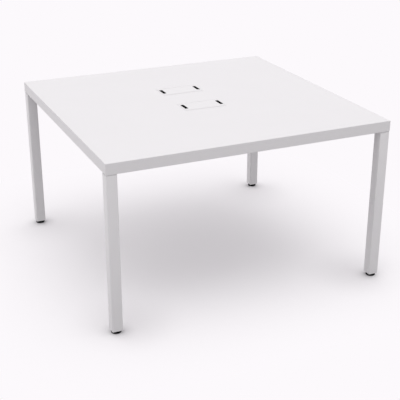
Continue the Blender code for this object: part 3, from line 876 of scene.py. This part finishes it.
class TABLE_OT_stage(bpy.types.Operator):
    """Lay the floor, and set up the studio light and the camera"""

    bl_idname = "table.stage"
    bl_label = "Stage"

    def execute(self, context):
        scene = context.scene
        stage = scene.table_stage
        self.lay_floor(scene, stage)
        self.light(scene, stage)
        self.aim(scene, stage)
        scene.view_settings.view_transform = "Standard"
        return {"FINISHED"}

    @staticmethod
    def seen(wiring):
        """1 for what the camera sees, straight or by a mirror or glass, 0 for light on its way round."""
        total = 0.0
        for ray in ("Is Camera Ray", "Is Glossy Ray", "Is Transmission Ray"):
            total = wiring.node("ShaderNodeLightPath", {}, {}, ray) + total
        return wiring.maths("MINIMUM", total, 1.0)

    @staticmethod
    def faded(wiring, stage):
        """0 where the floor keeps its shadow, under the table and at its feet, 1 where the backdrop shows.

        The distance from the fade's centre is (|x|^4 + |y|^4)^(1/4), which follows the table's square plan.
        """
        power = 4.0
        place = wiring.node("ShaderNodeTexCoord", {}, {}, "Object")
        x, y = (wiring.node("ShaderNodeSeparateXYZ", {}, {"Vector": place}, axis) for axis in "XY")
        across = wiring.maths("ABSOLUTE", x - stage.fade_centre[0])
        deep = wiring.maths("ABSOLUTE", y - stage.fade_centre[1])
        total = wiring.maths("POWER", across, power) + wiring.maths("POWER", deep, power)
        distance = wiring.maths("POWER", total, 1 / power)
        shadow = np.abs(corner_of(CORNERS[0])[0]) - stage.shadow_inset
        beside = wiring.maths("ABSOLUTE", x) - shadow[0]
        before = wiring.maths("ABSOLUTE", y) - shadow[1]
        off_shadow = wiring.maths("SQRT", beside * beside + before * before)
        out = wiring.between(distance, stage.fade_start, stage.fade_end)
        return out * wiring.between(off_shadow, 0.0, stage.foot_shadow)

    def lay_floor(self, scene, stage):
        """A wide pale plane that takes the shadow, fades into the backdrop and is clear from below.

        Right beside the feet, where they hide part of the light, its colour is darker.
        """
        reach = stage.floor_reach
        corners = [(-reach, -reach, 0), (reach, -reach, 0), (reach, reach, 0), (-reach, reach, 0)]
        data = bpy.data.meshes.new("stage_floor")
        data.from_pydata(corners, [], [(0, 1, 2, 3)])
        floor = bpy.data.objects.new("stage_floor", data)
        scene.collection.objects.link(floor)
        paint = bpy.data.materials.new("stage_floor")
        paint.use_nodes = True
        paint.node_tree.nodes.clear()
        wiring = Wiring(paint.node_tree)
        seen = self.seen(wiring)
        free = wiring.node("ShaderNodeAmbientOcclusion", {}, {"Distance": stage.contact_reach}, "AO")
        shaded = wiring.mix((1.0 - free) * stage.contact, stage.floor, (0.0, 0.0, 0.0))
        tone = wiring.mix(seen, shade(stage.floor, stage.bounce), shaded)
        matt = wiring.node("ShaderNodeBsdfDiffuse", {}, {"Color": tone})
        backdrop = wiring.node("ShaderNodeEmission", {}, {"Color": (*stage.floor, 1)})
        above = wiring.mix_shaders(seen * self.faded(wiring, stage), matt, backdrop)
        clear = wiring.node("ShaderNodeBsdfTransparent", {}, {})
        below = wiring.node("ShaderNodeNewGeometry", {}, {}, "Backfacing")
        wiring.node("ShaderNodeOutputMaterial", {}, {"Surface": wiring.mix_shaders(below, above, clear)})
        data.materials.append(paint)

    def light(self, scene, stage):
        """Even studio light from all round, a little stronger towards its tilt, on a plain background."""
        world = bpy.data.worlds.new("studio")
        scene.world = world
        world.use_nodes = True
        world.node_tree.nodes.clear()
        wiring = Wiring(world.node_tree)
        way = wiring.node("ShaderNodeTexCoord", {}, {}, "Generated")
        towards = {0: way, 1: tuple(stage.tilt)}
        slope = wiring.node("ShaderNodeVectorMath", {"operation": "DOT_PRODUCT"}, towards, "Value")
        level = (slope + 1.0) * stage.sky
        lit = wiring.node("ShaderNodeBackground", {}, {"Color": (1, 1, 1, 1), "Strength": level})
        backdrop = wiring.node("ShaderNodeBackground", {}, {"Color": (*stage.floor, 1)})
        both = wiring.mix_shaders(self.seen(wiring), lit, backdrop)
        wiring.node("ShaderNodeOutputWorld", {}, {"Surface": both})

    def aim(self, scene, stage):
        """Camera at the photograph's viewing angle."""
        data = bpy.data.cameras.new("camera")
        data.angle = stage.view
        camera = bpy.data.objects.new("camera", data)
        camera.location = stage.eye
        camera.rotation_euler = (math.pi / 2 - stage.pitch, 0, -stage.yaw)
        scene.collection.objects.link(camera)
        scene.camera = camera


class TABLE_PT_looks(bpy.types.Panel):
    """The table's pieces and settings in the sidebar"""

    bl_idname = "TABLE_PT_looks"
    bl_label = "Conference table"
    bl_space_type = "VIEW_3D"
    bl_region_type = "UI"
    bl_category = "Table"

    def draw(self, context):
        for operator in OPERATORS:
            self.layout.operator(operator.bl_idname)
        for name, group in GROUPS.items():
            box = self.layout.box()
            for setting in group.__annotations__:
                box.prop(getattr(context.scene, name), setting)


GROUPS = {
    "table_legs": TableLegSizes,
    "table_feet": TableFootSizes,
    "table_screws": TableScrewSizes,
    "table_finishes": TableFinishes,
    "table_stage": TableStage,
}
OPERATORS = (
    TABLE_OT_top,
    TABLE_OT_legs,
    TABLE_OT_screws,
    TABLE_OT_feet,
    TABLE_OT_ports,
    TABLE_OT_underframe,
    TABLE_OT_stage,
)


def register():
    """Register the settings, operators and panel."""
    for name, group in GROUPS.items():
        bpy.utils.register_class(group)
        setattr(bpy.types.Scene, name, bpy.props.PointerProperty(type=group))
    for operator in OPERATORS:
        bpy.utils.register_class(operator)
    bpy.utils.register_class(TABLE_PT_looks)


def unregister():
    """Undo register."""
    bpy.utils.unregister_class(TABLE_PT_looks)
    for operator in reversed(OPERATORS):
        bpy.utils.unregister_class(operator)
    for name, group in reversed(GROUPS.items()):
        delattr(bpy.types.Scene, name)
        bpy.utils.unregister_class(group)


def main():
    """Make every piece in turn."""
    register()
    bpy.ops.table.top()
    bpy.ops.table.legs()
    bpy.ops.table.screws()
    bpy.ops.table.feet()
    bpy.ops.table.ports()
    bpy.ops.table.underframe()
    bpy.ops.table.stage()


if __name__ == "__main__":
    main()
